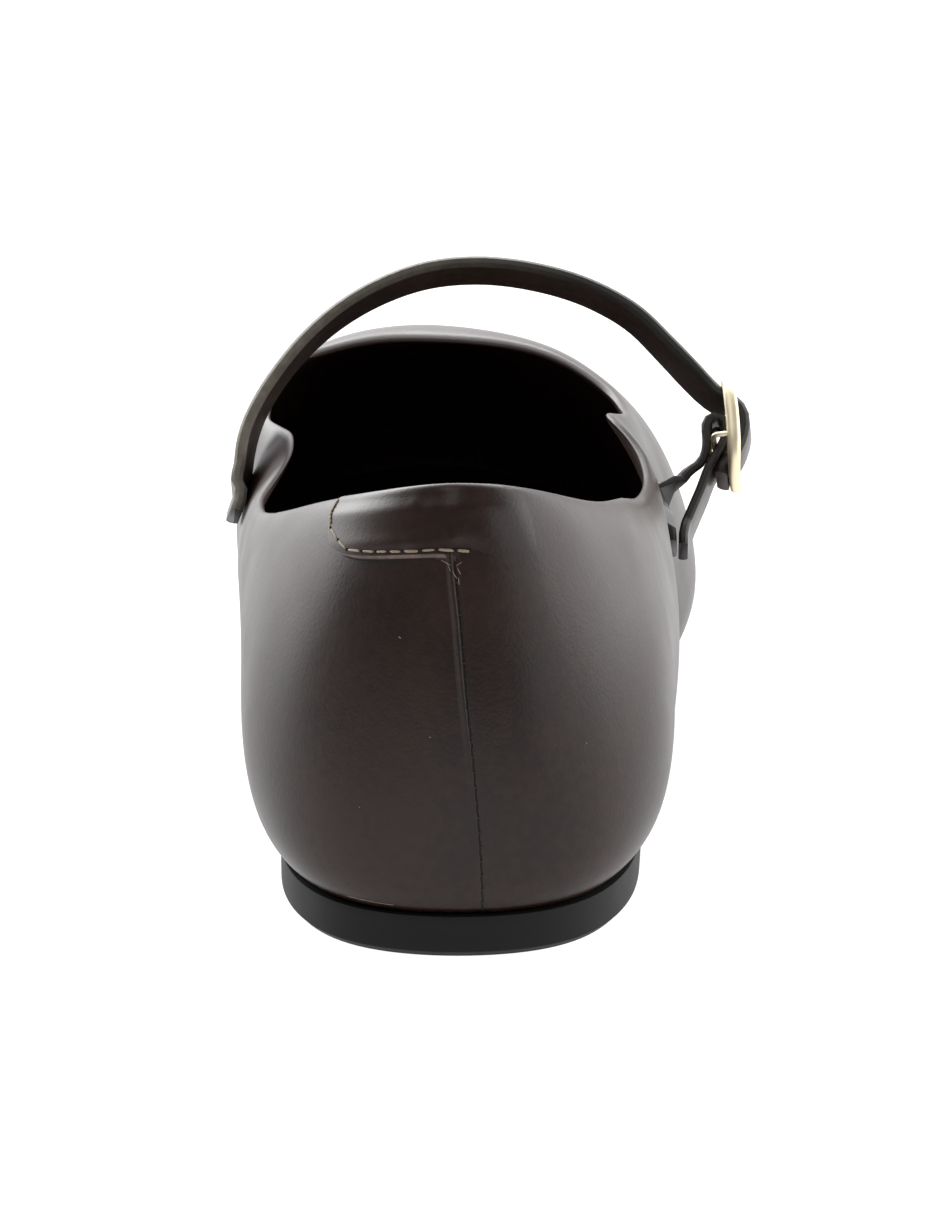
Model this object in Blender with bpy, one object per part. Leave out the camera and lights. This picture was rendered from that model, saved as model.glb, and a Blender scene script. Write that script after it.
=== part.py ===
"""A right-foot ballet flat of the Mary Jane kind: a lasted leather upper on a moulded rubber sole,
with an insole, a slim instep strap, and an oval buckle held by a leather tab.

Metres, +Z up. +Y runs towards the toe and +X towards the outer side of the foot. The origin is
under the middle of the whole shoe, on the ground. Tables are in millimetres: x is measured from
the middle of the heel, s forward from the rearmost point, and z up from the ground.
"""

import math

import bmesh
import bpy
import numpy as np

MM = 0.001

# Driving dimensions, in millimetres.
LEATHER = 1.9  # the upper's wall: outer leather and lining together
GAP = 0.3  # air between pieces that meet
MIDDLE_X = 4.3  # the middle of the whole shoe, from the middle of the heel
MIDDLE_S = 120.0  # and from the rearmost point of the foot line

SOLE_EDGE = 1.1  # how far the sole's edge stands out past the foot of the upper
SOLE_ROUND = 0.9  # rounding of the sole's lower edge
INSOLE_THICKNESS = 2.4
INSOLE_MARGIN = 0.6  # air between the insole and the upper's inside

STRAP_WIDTH = 9.0
STRAP_THICKNESS = 2.0
STRAP_CORNER = 0.6
STRAP_STEP = 1.6  # length of one facet along the strap
TAB_WIDTH = 9.0
TAB_THICKNESS = 1.5
TAB_CORNER = 0.45
TAB_STEP = 1.1
TAB_STANDS_OFF = 0.45  # the hollow waist keeps the middle of the flat strip off the upper

# The foot line, where the upper meets the sole, and the topline above it, station by station
# round the shoe: back, outer side, toe, inner side. Each station's wall is one curve. It leaves the
# foot line outwards by low_out and up by low_up, and comes to the topline from high_out outside
# it and high_down below it. A high_down of nothing or less domes the vamp up behind its topline.
LAST = [
    # place, foot_x, foot_s, low_out, low_up, high_out, high_down, top_x, top_s, top_z
    ("heel back", 0.0, 1.1, 5.0, 8.0, 8.5, 24.0, 0.0, 7.6, 67.6),
    ("outer heel corner", 15.6, 6.0, 6.8, 6.5, 9.5, 23.0, 10.6, 13.6, 65.4),
    ("outer heel side", 23.9, 20.6, 9.3, 5.5, 11.3, 21.0, 19.4, 28.0, 60.0),
    ("outer heel front", 26.6, 42.0, 8.8, 5.5, 10.1, 17.0, 24.9, 48.0, 55.3),
    ("outer waist", 29.4, 74.0, 5.2, 6.5, 9.1, 13.4, 29.2, 76.0, 48.8),
    ("outer instep", 32.7, 108.0, 0.2, 7.0, 2.8, 13.2, 32.4, 106.0, 48.7),
    ("outer joint", 36.8, 144.0, 9.2, 7.5, 8.0, 14.9, 29.1, 131.0, 48.5),
    ("outer vamp", 36.6, 178.0, 6.3, 9.0, 13.6, 9.5, 25.9, 146.6, 49.3),
    ("outer toe", 30.2, 209.0, 4.5, 12.0, 18.4, 3.0, 16.3, 156.6, 52.9),
    ("outer toe corner", 15.5, 231.6, 4.0, 13.0, 27.2, 0.0, 5.2, 161.4, 54.5),
    ("toe tip", -5.5, 240.2, 4.0, 13.5, 31.5, -1.0, -6.1, 162.4, 55.0),
    ("inner toe corner", -24.6, 232.0, 4.0, 13.0, 27.4, 0.0, -15.8, 161.8, 54.7),
    ("inner toe", -35.4, 212.0, 4.5, 12.0, 17.8, 3.5, -25.1, 158.2, 53.4),
    ("inner vamp", -38.0, 184.0, 4.6, 9.0, 9.5, 10.5, -30.4, 150.5, 53.2),
    ("inner joint", -35.2, 152.0, 4.2, 8.0, 7.5, 13.0, -33.1, 136.0, 49.3),
    ("inner instep", -29.4, 118.0, 5.8, 8.0, 9.1, 13.8, -32.2, 109.0, 46.1),
    ("inner waist", -25.4, 80.0, 6.4, 8.0, 7.2, 13.8, -31.7, 78.0, 46.3),
    ("inner heel front", -25.4, 45.0, 8.8, 5.5, 9.2, 17.2, -26.8, 49.0, 53.0),
    ("inner heel side", -23.6, 20.6, 9.6, 5.0, 11.5, 21.0, -19.4, 28.0, 60.0),
    ("inner heel corner", -15.4, 6.0, 7.4, 6.0, 9.5, 23.0, -10.4, 13.6, 65.2),
]
# The two points of the topline that reach in over the instep where the strap crosses.
EARS = [
    # side of the foot, s of the tip, how far it reaches in, up, behind and ahead, and its roundness
    ("outer", 118.0, 5.8, 3.0, 34.0, 15.0, 1.1),
    ("inner", 114.0, 4.0, 1.9, 26.0, 15.0, 1.8),
]
EAR_BEND = 7.0  # the higher, the nearer to the topline the wall bends in
EAR_TIP = 2.0  # rounding of an ear's tip
EAR_STEPS = (-9.0, -5.0, -2.2, 0.0, 2.2, 4.4, 7.0)  # extra columns of the wall at each ear

WALL_COLUMNS = 76
COLUMN_CLEARANCE = 0.3  # in columns, between an even column and one of the extra ones
RIM_ROUND = 0.25  # how far into the wall the rim's rounded corners reach, as a share of it
WALL_HEIGHTS = (0.0, 0.05, 0.11, 0.19, 0.28, 0.38, 0.48, 0.58, 0.68, 0.78, 0.87, 0.95)

SOLE_PROFILE = [
    # place, s, underside z, top z
    ("heel back", 0.0, 0.0, 6.2),
    ("heel front", 56.0, 0.0, 6.2),
    ("breast", 66.0, 2.6, 6.4),
    ("waist", 92.0, 3.1, 6.6),
    ("waist front", 118.0, 1.0, 4.6),
    ("joint back", 136.0, 0.0, 3.6),
    ("joint front", 186.0, 0.0, 3.6),
    ("toe spring", 218.0, 2.6, 6.2),
    ("toe tip", 242.0, 6.8, 10.2),
]
SOLE_COLUMNS = 84
SOLE_RINGS = (0.0, 0.4, 0.75, 1.0)  # shares of the way out, on the tread and on the sole's top

# The strap and the buckle's tab lie in one plane that leans towards the toe as it rises. Heights
# along it are measured from where it crosses the topline.
LEAN = math.radians(34.0)
PLANE_S = 117.0
PLANE_Z = 46.0
BUCKLE_CENTRE = (45.6, 118.1, 47.7)
BUCKLE_TILT = -0.06  # how far the buckle leans in as it rises
BUCKLE_TURN = 0.1  # how far its front edge is turned out

BUCKLE_HALF_LENGTH = 7.1  # the opening's, along the strap
BUCKLE_HALF_WIDTH = 6.6  # the opening's, across the strap
BUCKLE_SQUARENESS = 3.0
BUCKLE_RIM = 2.1
BUCKLE_THICKNESS = 1.9
BUCKLE_SWELL = 0.35  # how much thicker the ring is halfway along it, all on its outer face
BUCKLE_DOME = 0.005  # how fast its ends curve in, per millimetre along it
BUCKLE_COLUMNS = 40
BUCKLE_CORNERS = 8  # of the ring's section
BAR_PLACE = (-3.2, -2.5)  # out and up from the buckle's centre
BAR_RADIUS = 0.45
BAR_REACH = 6.6  # half the bar's length, between its two bends
BAR_BEND = (-0.4, 0.7, 0.3, 0.8)  # into the ring, part of the way out, short of the end, straight
BAR_CORNERS = 12
BAR_STEP = 0.7

PRONG_RADIUS = 0.55
PRONG_CORNERS = 8
PRONG_STEP = 0.9
PRONG_AIR = 0.15  # between the prong's loop and the bar
PRONG_LOOP = (80, 120, 160, 200, 240, 280, 315, 343)  # degrees round the bar
PRONG_ARM = [(-1.3, 0.2), (-0.6, 3.4), (0.0, 6.0), (0.4, 7.8), (0.55, 9.0)]  # out, up
HOLE_RADIUS = 0.85
HOLE_CORNERS = 10
HOLE_STEP = 1.5
HOLE_LINE = [(-0.82, 2.4), (-0.6, 3.4), (0.0, 6.0), (0.2, 6.9)]  # out, up
NOTCH_LINE = [(0.2, 6.9), (0.4, 7.8), (0.55, 9.0), (0.75, 10.6)]  # out, up
SLOT = ((-6.0, 0.4), (-4.6, 3.4), (-0.9, 0.9))  # out, up and across, through the tab's fold

STRAP_SEWN = (-12.6, -11.4, -10.2)  # heights on the inner side of the upper
STRAP_ARCH = [
    # x, height, and how far its front edge turns towards the outer side
    (-36.6, -7.8, -0.02),
    (-35.8, -4.4, 0.08),
    (-35.42, -0.8, 0.09),
    (-34.75, 2.4, 0.06),
    (-33.2, 6.6, 0.0),
    (-30.0, 12.3, -0.05),
    (-26.0, 17.6, -0.06),
    (-20.4, 23.0, -0.05),
    (-13.0, 27.7, -0.04),
    (-5.5, 30.5, -0.03),
    (3.5, 31.4, -0.03),
    (12.5, 30.3, -0.04),
    (22.0, 27.2, -0.06),
    (29.2, 22.8, -0.09),
    (34.7, 17.0, -0.12),
    (38.9, 12.2, -0.14),
]
STRAP_THROUGH_BUCKLE = [
    # out, up, from the buckle's centre, and how far its front edge turns inwards
    (-4.1, 8.2, 0.2),
    (-1.8, 5.9, 0.12),
    (0.4, 4.5, 0.05),
    (1.6, 3.0, 0.0),
    (2.0, 1.3, 0.0),
    (1.7, -0.7, 0.0),
    (0.9, -2.9, 0.0),
    (-0.3, -4.9, 0.0),
    (-1.55, -6.1, 0.0),
    (-2.4, -7.1, 0.0),
    (-2.5, -8.0, 0.0),
]
TAB_SEWN = (-18.0, -15.5, -12.5, -9.5)  # heights on the outer side of the upper
TAB_INNER_LEG = [
    # out, up, and how far this part of the strip leans, in degrees
    (-10.2, -8.3, 15.0),
    (-8.2, -6.0, 14.0),
    (-5.8, -4.3, 18.0),
    (-4.7, -2.2, 34.0),
]
TAB_FOLD_CENTRE = (-2.75, 0.4)
TAB_FOLD_RADIUS = 1.65
TAB_FOLD_STEPS = (180, 150, 120, 90, 60, 30, 0)  # degrees
TAB_OUTER_LEG = [
    (-1.15, -1.2),
    (-2.7, -4.1),
    (-4.5, -6.9),
    (-6.0, -10.2),
    (-7.5, -13.2),
    (-9.0, -16.3),
]
TAB_SEWN_BACK = (-17.6, -18.5)


def clear_scene():
    for item in list(bpy.data.objects):
        bpy.data.objects.remove(item, do_unlink=True)


def principled(name, colour, roughness, metallic=0.0):
    made = bpy.data.materials.new(name)
    made.use_nodes = True
    shader = made.node_tree.nodes["Principled BSDF"]
    shader.inputs["Base Color"].default_value = (*colour, 1.0)
    shader.inputs["Roughness"].default_value = roughness
    shader.inputs["Metallic"].default_value = metallic
    return made


def column(table, place):
    return np.array([row[place] for row in table], float)


def profile(places, values, at):
    """A curve through the values that never passes them, and is level between equal ones."""
    steps = np.diff(places)
    slopes = np.diff(values) / steps
    behind, ahead = slopes[:-1], slopes[1:]
    turning = behind * ahead > 0
    mean = np.divide(2 * behind * ahead, behind + ahead, out=np.zeros_like(ahead), where=turning)
    tangents = np.concatenate([slopes[:1], mean, slopes[-1:]])
    index = np.clip(np.searchsorted(places, at, side="right") - 1, 0, len(steps) - 1)
    span = steps[index]
    t = (at - places[index]) / span
    return (
        (2 * t**3 - 3 * t**2 + 1) * values[index]
        + (t**3 - 2 * t**2 + t) * span * tangents[index]
        + (3 * t**2 - 2 * t**3) * values[index + 1]
        + (t**3 - t**2) * span * tangents[index + 1]
    )


class ClosedSpline:
    """A smooth closed curve through rows of values, over a parameter that runs from 0 to 1."""

    def __init__(self, rows, spans):
        self.rows = rows
        self.spans = spans
        self.starts = np.concatenate([[0.0], np.cumsum(spans)])
        count = len(rows)
        system = np.zeros((count, count))
        target = np.zeros_like(rows)
        for here in range(count):
            before, after = (here - 1) % count, (here + 1) % count
            back, forward = spans[before], spans[here]
            system[here, before] += 1 / back
            system[here, here] += 2 / back + 2 / forward
            system[here, after] += 1 / forward
            target[here] = 3 * (rows[here] - rows[before]) / back**2
            target[here] += 3 * (rows[after] - rows[here]) / forward**2
        self.tangents = np.linalg.solve(system, target)

    def at(self, u):
        u = np.mod(u, 1.0)
        here = np.clip(np.searchsorted(self.starts, u, side="right") - 1, 0, len(self.rows) - 1)
        after = (here + 1) % len(self.rows)
        span = self.spans[here][..., None]
        t = (u - self.starts[here])[..., None] / span
        return (
            (2 * t**3 - 3 * t**2 + 1) * self.rows[here]
            + (t**3 - 2 * t**2 + t) * span * self.tangents[here]
            + (3 * t**2 - 2 * t**3) * self.rows[after]
            + (t**3 - t**2) * span * self.tangents[after]
        )


def sole_top(s):
    return profile(column(SOLE_PROFILE, 1), column(SOLE_PROFILE, 3), s)


def sole_underside(s):
    return profile(column(SOLE_PROFILE, 1), column(SOLE_PROFILE, 2), s)


def station_spans():
    """Each station's share of the way round, the same on both sides, so that u and 1 - u pair up."""
    foot = np.stack([column(LAST, 1), column(LAST, 2)], axis=1)
    lengths = np.linalg.norm(np.roll(foot, -1, axis=0) - foot, axis=1)
    lengths = (lengths + lengths[::-1]) / 2
    return lengths / lengths.sum()


LAST_CURVES = ClosedSpline(np.array([row[1:] for row in LAST], float), station_spans())
SMALL_STEP = 1e-4
NEWTON_STEPS = 12
WELD = 0.002 * MM


def outward(u, x_column, s_column):
    """The level direction that points out of the shoe from one of its closed lines."""
    step = LAST_CURVES.at(u + SMALL_STEP) - LAST_CURVES.at(u - SMALL_STEP)
    normal = np.stack([step[..., s_column], -step[..., x_column]], axis=-1)
    return normal / np.linalg.norm(normal, axis=-1, keepdims=True)


def foot_line(u, inset=0.0):
    """Points (x, s) of the foot line, moved inwards by the inset."""
    return LAST_CURVES.at(u)[..., 0:2] - inset * outward(u, 0, 1)


def wall_curve(u):
    """The four control points of the wall's curve at u, from the foot line to the topline."""
    row = LAST_CURVES.at(u)
    low_out, low_up, high_out, high_down = (row[..., k : k + 1] for k in (2, 3, 4, 5))
    foot = np.concatenate([row[..., 0:2], sole_top(row[..., 1:2]) + GAP], axis=-1)
    top = row[..., 6:9]
    low = foot + np.concatenate([low_out * outward(u, 0, 1), low_up], axis=-1)
    high = top + np.concatenate([high_out * outward(u, 6, 7), -high_down], axis=-1)
    return foot, low, high, top


def ear_pull(u):
    """How far the topline is drawn in and up at u, as a vector, to form the two ears."""
    top_s = LAST_CURVES.at(u)[..., 7]
    pull = np.zeros((*np.shape(top_s), 3))
    for side, tip, inwards, upwards, behind, ahead, roundness in EARS:
        on_side = u < 0.5 if side == "outer" else u > 0.5
        away = np.where(top_s < tip, (tip - top_s) / behind, (top_s - tip) / ahead)
        blunt = EAR_TIP / ahead
        away = (np.sqrt(away**2 + blunt**2) - blunt) ** roundness
        share = np.where(on_side, np.clip(1 - away, 0, 1) ** 2, 0.0)[..., None]
        vector = np.concatenate([-inwards * outward(u, 6, 7), np.full_like(share, upwards)], axis=-1)
        pull += share * vector
    return pull


def wall_point(u, t):
    """A point of the upper's outer face, t of the way from the foot line to the topline."""
    foot, low, high, top = wall_curve(u)
    t = np.asarray(t)[..., None]
    plain = (
        (1 - t) ** 3 * foot
        + 3 * t * (1 - t) ** 2 * low
        + 3 * t**2 * (1 - t) * high
        + t**3 * top
    )
    return plain + t**EAR_BEND * ear_pull(u)


def wall_normal(u, t):
    along = wall_point(u + SMALL_STEP, t) - wall_point(u - SMALL_STEP, t)
    up = wall_point(u, t + SMALL_STEP) - wall_point(u, t - SMALL_STEP)
    normal = np.cross(along, up)
    return normal / np.linalg.norm(normal, axis=-1, keepdims=True)


def ear_position(side, s):
    """The place round the shoe where the topline on that side is at s."""
    sampled = np.linspace(0.0, 0.5, 400) if side == "outer" else np.linspace(1.0, 0.5, 400)
    top_s = LAST_CURVES.at(sampled)[:, 7]
    return float(np.interp(s, top_s, sampled))


def wall_columns():
    plain = np.linspace(0.0, 1.0, WALL_COLUMNS, endpoint=False)
    extra = [ear_position(side, tip + step) for side, tip, *_ in EARS for step in EAR_STEPS]
    clear = [u for u in plain if min(abs(u - e) for e in extra) > COLUMN_CLEARANCE / WALL_COLUMNS]
    return np.array(sorted(clear + extra))


def in_frame(points):
    """From (x, s, z) in millimetres to the shoe's frame in metres."""
    return (np.asarray(points) - (MIDDLE_X, MIDDLE_S, 0.0)) * MM


def ring_stack(rings, closed):
    """Points and faces of rings of equal length, each joined to the next, and the last to the first."""
    count = len(rings[0])
    faces = []
    for ring in range(len(rings) if closed else len(rings) - 1):
        above = (ring + 1) % len(rings)
        for place in range(count):
            beside = (place + 1) % count
            corners = (ring * count + place, ring * count + beside)
            faces.append((*corners, above * count + beside, above * count + place))
    return np.concatenate(rings), faces


def cap(ring, count, turned):
    corners = [ring * count + place for place in range(count)]
    return tuple(reversed(corners)) if turned else tuple(corners)


def add_piece(name, points, faces, finish, sharp_angle=40.0):
    mesh = bpy.data.meshes.new(name)
    mesh.from_pydata([tuple(point) for point in in_frame(points)], [], faces)
    work = bmesh.new()
    work.from_mesh(mesh)
    bmesh.ops.remove_doubles(work, verts=work.verts, dist=WELD)
    bmesh.ops.dissolve_degenerate(work, edges=work.edges, dist=WELD)
    bmesh.ops.recalc_face_normals(work, faces=work.faces)
    work.to_mesh(mesh)
    work.free()
    mesh.shade_smooth()
    mesh.set_sharp_from_angle(angle=math.radians(sharp_angle))
    mesh.materials.append(finish)
    piece = bpy.data.objects.new(name, mesh)
    bpy.context.scene.collection.objects.link(piece)
    return piece


def make_upper(finish):
    """The leather upper: one hollow wall, open at the topline and underneath."""
    u = wall_columns()
    rings = [wall_point(u, height) for height in WALL_HEIGHTS]
    rim, into_wall = wall_point(u, 1.0), wall_normal(u, 1.0)
    rings.append(rim - RIM_ROUND * LEATHER * into_wall)
    rings.append(rim - (1 - RIM_ROUND) * LEATHER * into_wall)
    for height in reversed(WALL_HEIGHTS):
        rings.append(wall_point(u, height) - LEATHER * wall_normal(u, height))
    rings[-1][:, 2] = rings[0][:, 2]
    points, faces = ring_stack(rings, closed=True)
    return add_piece("upper", points, faces, finish)


def filled_outline(levels):
    """Rings of a flat closed piece whose lower and upper faces are both closed along the middle."""
    rings = []
    for outline, share in levels:
        middle = (outline + np.roll(outline[::-1], 1, axis=0)) / 2
        rings.append(middle + share * (outline - middle))
    return rings


def outline_at(inset, height):
    u = np.linspace(0.0, 1.0, SOLE_COLUMNS, endpoint=False)
    flat = foot_line(u, inset)
    return np.column_stack([flat, height(flat[:, 1])])


def make_outsole(finish):
    """The rubber sole: a low heel, a raised waist, a flat tread and a little toe spring."""
    tread = outline_at(SOLE_ROUND - SOLE_EDGE, sole_underside)
    lower_edge = outline_at(-SOLE_EDGE, lambda s: sole_underside(s) + SOLE_ROUND)
    upper_edge = outline_at(-SOLE_EDGE, sole_top)
    levels = [(tread, share) for share in SOLE_RINGS]
    levels += [(lower_edge, 1.0)]
    levels += [(upper_edge, share) for share in reversed(SOLE_RINGS)]
    rings = filled_outline(levels)
    for ring in rings[:3]:
        ring[:, 2] = sole_underside(ring[:, 1])
    for ring in rings[-3:]:
        ring[:, 2] = sole_top(ring[:, 1])
    points, faces = ring_stack(rings, closed=False)
    return add_piece("outsole", points, faces, finish)


def make_insole(finish):
    """The insole: a padded board that lies on the sole inside the upper."""
    inset = LEATHER + INSOLE_MARGIN
    bottom = outline_at(inset, lambda s: sole_top(s) + GAP)
    top = outline_at(inset, lambda s: sole_top(s) + GAP + INSOLE_THICKNESS)
    levels = [(bottom, share) for share in (0.0, 0.5, 1.0)]
    levels += [(top, share) for share in (1.0, 0.5, 0.0)]
    rings = filled_outline(levels)
    for ring in rings[:2]:
        ring[:, 2] = sole_top(ring[:, 1]) + GAP
    for ring in rings[-2:]:
        ring[:, 2] = sole_top(ring[:, 1]) + GAP + INSOLE_THICKNESS
    points, faces = ring_stack(rings, closed=False)
    return add_piece("insole", points, faces, finish)


def leaning(rise):
    """The s and z of a place on the strap's plane."""
    return PLANE_S + rise * math.sin(LEAN), PLANE_Z + rise * math.cos(LEAN)


def buckle_axes():
    """Unit vectors out of the buckle, up along the strap, and across it towards the toe."""
    up = np.array([BUCKLE_TILT, math.sin(LEAN), math.cos(LEAN)])
    up /= np.linalg.norm(up)
    across = np.array([BUCKLE_TURN, math.cos(LEAN), -math.sin(LEAN)])
    across -= np.dot(across, up) * up
    across /= np.linalg.norm(across)
    return np.cross(across, up), up, across


def at_buckle(out, up, across=0.0):
    axes = buckle_axes()
    return np.array(BUCKLE_CENTRE) + out * axes[0] + up * axes[1] + across * axes[2]


def on_upper(side, rise, lift):
    """A place on the upper's outside where the strap's plane crosses it, and the way out of it."""
    s, z = leaning(rise)
    u = ear_position(side, s)
    t = 0.7  # a first guess, part of the way up the wall
    step = SMALL_STEP
    for _ in range(NEWTON_STEPS):
        here = wall_point(u, t)[1:]
        by_u = (wall_point(u + step, t)[1:] - here) / step
        by_t = (wall_point(u, t + step)[1:] - here) / step
        change = np.linalg.solve(np.stack([by_u, by_t], axis=1), np.array([s, z]) - here)
        u, t = u + change[0], t + change[1]
    normal = wall_normal(u, t)
    return wall_point(u, t) + lift * normal, normal


def smooth_path(points, spacing):
    """Points at even steps along a smooth curve through the given ones."""
    points = np.array(points)
    spans = np.linalg.norm(np.diff(points[:, :3], axis=0), axis=1)
    starts = np.concatenate([[0.0], np.cumsum(spans)])
    slopes = np.diff(points, axis=0) / spans[:, None]
    share = (spans[:-1] / (spans[:-1] + spans[1:]))[:, None]
    inner = slopes[:-1] * (1 - share) + slopes[1:] * share
    tangents = np.concatenate([slopes[:1], inner, slopes[-1:]])
    at = np.linspace(0.0, starts[-1], max(2, round(starts[-1] / spacing)) + 1)
    index = np.clip(np.searchsorted(starts, at, side="right") - 1, 0, len(spans) - 1)
    span = spans[index][:, None]
    t = (at - starts[index])[:, None] / span
    return (
        (2 * t**3 - 3 * t**2 + 1) * points[index]
        + (t**3 - 2 * t**2 + t) * span * tangents[index]
        + (3 * t**2 - 2 * t**3) * points[index + 1]
        + (t**3 - t**2) * span * tangents[index + 1]
    )


def round_section(radius, count):
    turns = [2 * math.pi * step / count for step in range(count)]
    return [(radius * math.sin(turn), -radius * math.cos(turn)) for turn in turns]


def band_section(width, thickness, corner):
    """The outline of a strip of leather: across its width, and through its thickness."""
    half, deep = width / 2, thickness / 2
    return [
        (half, -deep + corner),
        (half, deep - corner),
        (half - corner, deep),
        (corner - half, deep),
        (-half, deep - corner),
        (-half, corner - deep),
        (corner - half, -deep),
        (half - corner, -deep),
    ]


def make_band(name, path, section, spacing, finish):
    """A strip of leather that follows a path of places and of directions across the strip."""
    samples = smooth_path(path, spacing)
    places, across = samples[:, :3], samples[:, 3:]
    along = np.gradient(places, axis=0)
    along /= np.linalg.norm(along, axis=1, keepdims=True)
    across = across - np.sum(across * along, axis=1, keepdims=True) * along
    across /= np.linalg.norm(across, axis=1, keepdims=True)
    out = np.cross(across, along)
    rings = [
        np.array([place + wide * side + deep * up for wide, deep in section])
        for place, side, up in zip(places, across, out)
    ]
    points, faces = ring_stack(rings, closed=False)
    faces.append(cap(0, len(section), turned=True))
    faces.append(cap(len(rings) - 1, len(section), turned=False))
    return add_piece(name, points, faces, finish)


def sewn_row(side, rise, lift, along_sign):
    """A path row where the strip lies flat on the upper."""
    place, normal = on_upper(side, rise, lift)
    up = np.array([0.0, math.sin(LEAN), math.cos(LEAN)])
    up -= np.dot(up, normal) * normal
    across = along_sign * np.cross(up, normal)
    return np.concatenate([place, across / np.linalg.norm(across)])


def buckle_row(out, up):
    return np.concatenate([at_buckle(out, up), buckle_axes()[2]])


def around(centre, radius, steps):
    """Path rows round a place on the buckle, at the given degrees."""
    rows = []
    for degrees in steps:
        turn = math.radians(degrees)
        out, up = radius * math.cos(turn), radius * math.sin(turn)
        rows.append(buckle_row(centre[0] + out, centre[1] + up))
    return rows


def strap_path():
    lift = GAP + STRAP_THICKNESS / 2
    rows = [sewn_row("inner", rise, lift, -1) for rise in STRAP_SEWN]
    for x, rise, turn in STRAP_ARCH:
        rows.append(np.array([x, *leaning(rise), turn, math.cos(LEAN), -math.sin(LEAN)]))
    for out, up, turn in STRAP_THROUGH_BUCKLE:
        row = buckle_row(out, up)
        row[3:] -= turn * buckle_axes()[0]
        rows.append(row)
    return rows


def tab_path():
    """Up the outside of the upper, out to the bar, round it, and back down on top of itself."""
    lift = GAP + TAB_STANDS_OFF + TAB_THICKNESS / 2
    rows = [sewn_row("outer", rise, lift, 1) for rise in TAB_SEWN]
    for out, up, lean in TAB_INNER_LEG:
        level = (0.0, math.cos(math.radians(lean)), -math.sin(math.radians(lean)))
        rows.append(np.concatenate([at_buckle(out, up), level]))
    rows += around(TAB_FOLD_CENTRE, TAB_FOLD_RADIUS, TAB_FOLD_STEPS)
    rows += [buckle_row(out, up) for out, up in TAB_OUTER_LEG]
    lift += TAB_THICKNESS + GAP
    rows += [sewn_row("outer", rise, lift, 1) for rise in TAB_SEWN_BACK]
    return rows


def ring_half(angle, half_length, half_width):
    """A place on the buckle's oval: up along the strap, and across it."""
    power = 2 / BUCKLE_SQUARENESS
    up = half_length * math.copysign(abs(math.sin(angle)) ** power, math.sin(angle))
    across = half_width * math.copysign(abs(math.cos(angle)) ** power, math.cos(angle))
    return up, across


def make_buckle_frame(finish):
    """The cast oval ring, with its centre bar let into the back of it."""
    reach = 0.5 / math.cos(math.pi / BUCKLE_CORNERS)  # so that the flats touch the full size
    rings = []
    for step in range(BUCKLE_COLUMNS):
        angle = 2 * math.pi * step / BUCKLE_COLUMNS
        inner = ring_half(angle, BUCKLE_HALF_LENGTH, BUCKLE_HALF_WIDTH)
        outer = ring_half(angle, BUCKLE_HALF_LENGTH + BUCKLE_RIM, BUCKLE_HALF_WIDTH + BUCKLE_RIM)
        ring = []
        for corner in range(BUCKLE_CORNERS):
            turn = 2 * math.pi * (corner + 0.5) / BUCKLE_CORNERS
            share = 0.5 + reach * math.cos(turn)
            out = reach * BUCKLE_THICKNESS * math.sin(turn)
            up = inner[0] + share * (outer[0] - inner[0])
            across = inner[1] + share * (outer[1] - inner[1])
            if out > 0:
                out += BUCKLE_SWELL * math.cos(angle) ** 2 * math.sin(turn)
            ring.append(at_buckle(out - BUCKLE_DOME * up**2, up, across))
        rings.append(np.array(ring))
    points, faces = ring_stack(rings, closed=True)
    frame = add_piece("buckle_frame", points, faces, finish)

    limb = BUCKLE_HALF_WIDTH + BUCKLE_RIM / 2
    out, up = BAR_PLACE
    root, elbow, short, straight = BAR_BEND
    bend = [(root, limb), (elbow * out, limb), (out, BAR_REACH - short), (out, straight * BAR_REACH)]
    bend += [(way, -reach) for way, reach in reversed(bend)]
    lengthwise = buckle_axes()[1]
    rows = [np.concatenate([at_buckle(way, up, reach), lengthwise]) for way, reach in bend]
    bar = make_band("bar_tool", rows, round_section(BAR_RADIUS, BAR_CORNERS), BAR_STEP, finish)
    join(frame, bar, "UNION")
    bore(frame, "notch_tool", NOTCH_LINE, finish)
    return frame


def join(piece, tool, operation):
    """A Boolean of the piece with a helper that stays out of the shoe."""
    tool.hide_render = True
    tool.display_type = "WIRE"
    boolean = piece.modifiers.new(operation.lower(), "BOOLEAN")
    boolean.operation = operation
    boolean.object = tool


def bore(piece, name, line, finish):
    """Cuts a round way along a line through the piece, for the prong."""
    rows = [buckle_row(out, up) for out, up in line]
    tool = make_band(name, rows, round_section(HOLE_RADIUS, HOLE_CORNERS), HOLE_STEP, finish)
    join(piece, tool, "DIFFERENCE")


def cut_slot(piece, name, out, up, across):
    """Cuts a box out of the piece, given by its lowest and highest out, up and across."""
    corners = [at_buckle(o, a, w) for w in across for o, a in zip(out * 2, (up[0], up[0], up[1], up[1]))]
    order = (0, 1, 3, 2)
    rings = [np.array([corners[k] for k in order]), np.array([corners[4 + k] for k in order])]
    points, faces = ring_stack(rings, closed=False)
    faces += [cap(0, 4, turned=True), cap(1, 4, turned=False)]
    tool = add_piece(name, points, faces, piece.data.materials[0])
    join(piece, tool, "DIFFERENCE")


def make_prong(finish):
    """The wire prong: a loop round the bar, and an arm through the strap to the upper rim."""
    rows = around(BAR_PLACE, BAR_RADIUS + PRONG_AIR + PRONG_RADIUS, PRONG_LOOP)
    rows += [buckle_row(out, up) for out, up in PRONG_ARM]
    return make_band("buckle_prong", rows, round_section(PRONG_RADIUS, PRONG_CORNERS), PRONG_STEP, finish)


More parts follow.
